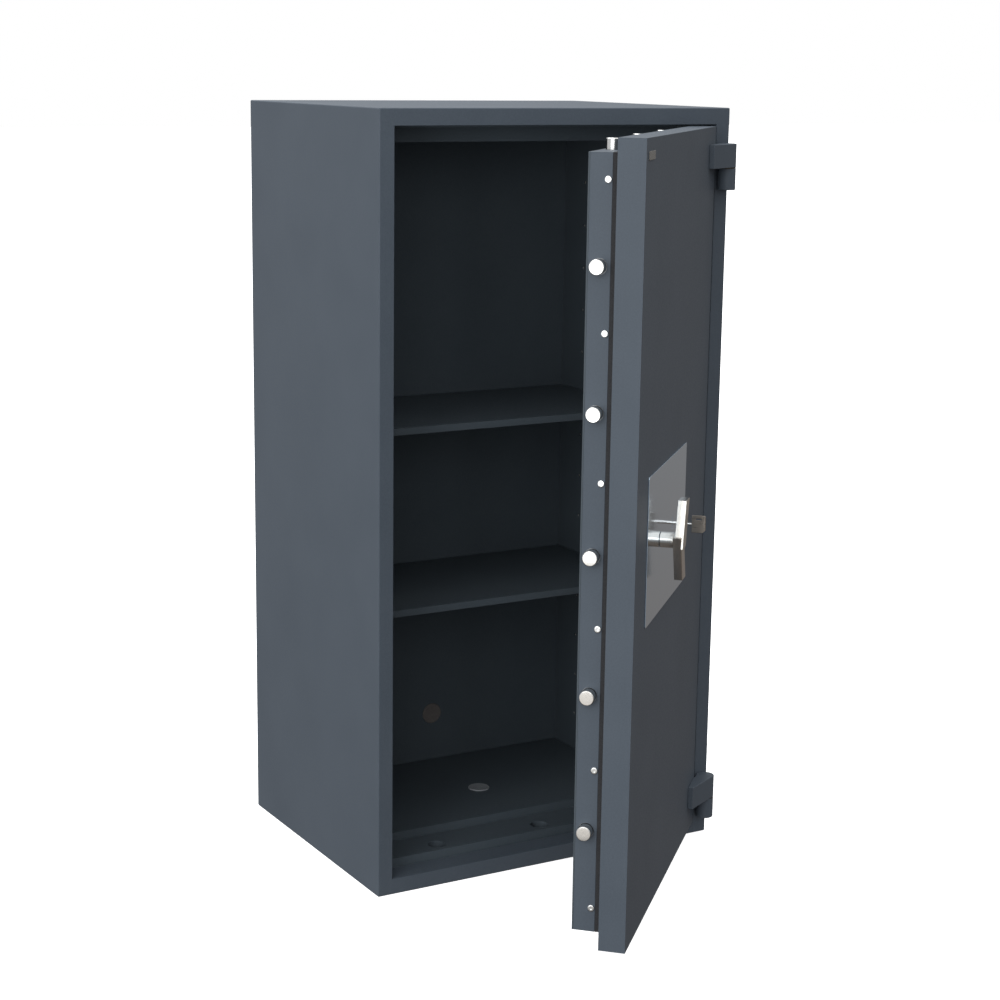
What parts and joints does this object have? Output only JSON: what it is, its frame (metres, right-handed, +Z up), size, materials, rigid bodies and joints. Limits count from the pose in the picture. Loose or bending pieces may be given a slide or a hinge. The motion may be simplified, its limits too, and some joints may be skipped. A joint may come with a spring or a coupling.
{
  "type": "gun safe",
  "caption": "Tall steel gun safe with a fire-lined body, two shelves, a lift-off hinged door, geared locking bolts, a two-arm handle and a double-bit key lock.",
  "frame": {"origin": "on the floor, at the mouth of the floor anchor hole in the middle of the cabinet base", "axes": "+Z up, -Y out of the front of the cabinet, +X to the hinge side"},
  "size_m": [0.77, 1.09, 1.5],
  "materials": {
    "body_paint": "fine textured powder coat, graphite grey",
    "inner_paint": "fine textured powder coat, graphite grey",
    "fire_concrete": "cast fire-resistant concrete",
    "seal_strip": "dark intumescent fire-seal board",
    "bright_steel": "bright plated steel",
    "satin_steel": "satin stainless steel",
    "machined_steel": "machined steel",
    "bronze": "turned bearing bronze",
    "plug_light": "light grey moulded plastic",
    "plug_brown": "brown grey moulded plastic",
    "key_steel": "nickel silver, worn satin"
  },
  "bodies": {
    "cabinet": {"outer_shell": "body_paint", "front_frame": "body_paint", "bolt_frame": "inner_paint", "inner_liner": "inner_paint", "wall_fill": "fire_concrete", "shelf_lower": "inner_paint", "shelf_upper": "inner_paint", "shelf_pins_lower": "bright_steel", "shelf_pins_upper": "bright_steel", "floor_anchor_tube": "machined_steel", "floor_anchor_plug": "plug_light", "rear_anchor_tube": "machined_steel", "rear_anchor_plug": "plug_brown", "hinge_knuckle_lower": "body_paint", "hinge_knuckle_upper": "body_paint", "hinge_pin_lower": "machined_steel", "hinge_pin_upper": "machined_steel", "hinge_washer_lower": "bronze", "hinge_washer_upper": "bronze"},
    "door": {"door_skin": "body_paint", "door_fill": "fire_concrete", "door_back_plate": "inner_paint", "fire_seal": "seal_strip", "hinge_arm_lower": "body_paint", "hinge_arm_upper": "body_paint", "bolt_housing": "body_paint", "housing_cover": "inner_paint", "housing_screws": "bright_steel", "cover_screws": "bright_steel", "side_guide": "machined_steel", "top_guide": "machined_steel", "bottom_guide": "machined_steel", "hinge_dogs": "bright_steel", "hard_plate": "machined_steel", "lock_plate": "satin_steel", "badge": "satin_steel", "spindle_bush": "bronze", "lock_case": "machined_steel", "lock_case_lid": "machined_steel", "lock_levers": "machined_steel"},
    "handle": {"handle_hub": "satin_steel", "handle_arm_lower": "satin_steel", "handle_arm_upper": "satin_steel", "spindle": "machined_steel", "pinion": "machined_steel"},
    "side_bolt_work": {"side_bolts": "bright_steel", "side_carriage": "machined_steel"},
    "top_bolt_work": {"top_bolts": "bright_steel", "top_carriage": "machined_steel"},
    "bottom_bolt_work": {"bottom_bolts": "bright_steel", "bottom_carriage": "machined_steel"},
    "deadlock": {"lock_bolt": "machined_steel"},
    "rotor": {"lock_rotor": "bronze"},
    "key": {"key_blade": "key_steel", "key_bow": "key_steel"}
  },
  "joints": [
    {"name": "door_swing", "type": "hinge", "parent": "cabinet", "child": "door", "pos_m": [0.367, -0.31, 0], "axis": [0, 0, 1], "range_deg": [-45, 135]},
    {"name": "handle_turn", "type": "hinge", "parent": "door", "child": "handle", "pos_m": [0.03042, -0.67487, 0.744], "axis": [0.7071, -0.7071, 0], "range_deg": [0, 90]},
    {"name": "side_bolt_throw", "type": "slide", "parent": "door", "child": "side_bolt_work", "axis": [-0.7071, -0.7071, 0], "range_m": [0, 0.0201]},
    {"name": "top_bolt_throw", "type": "slide", "parent": "door", "child": "top_bolt_work", "axis": [0, 0, 1], "range_m": [0, 0.0201]},
    {"name": "bottom_bolt_throw", "type": "slide", "parent": "door", "child": "bottom_bolt_work", "axis": [0, 0, -1], "range_m": [0, 0.0201]},
    {"name": "key_turn", "type": "hinge", "parent": "door", "child": "rotor", "pos_m": [0.08486, -0.56385, 0.75], "axis": [0.7071, -0.7071, 0], "range_deg": [0, 180]},
    {"name": "key_withdraw", "type": "slide", "parent": "rotor", "child": "key", "axis": [0.7071, -0.7071, 0], "range_m": [0, 0.095]},
    {"name": "lock_bolt_throw", "type": "slide", "parent": "door", "child": "deadlock", "axis": [-0.7071, -0.7071, 0], "range_m": [0, 0.0101]}
  ],
  "couplings": [
    {"joint": "side_bolt_throw", "follows": "handle_turn", "m_per_rad": 0.01275},
    {"joint": "top_bolt_throw", "follows": "handle_turn", "m_per_rad": 0.01275},
    {"joint": "bottom_bolt_throw", "follows": "handle_turn", "m_per_rad": 0.01275},
    {"joint": "lock_bolt_throw", "follows": "key_turn", "m_per_rad": 0.0031831}
  ]
}
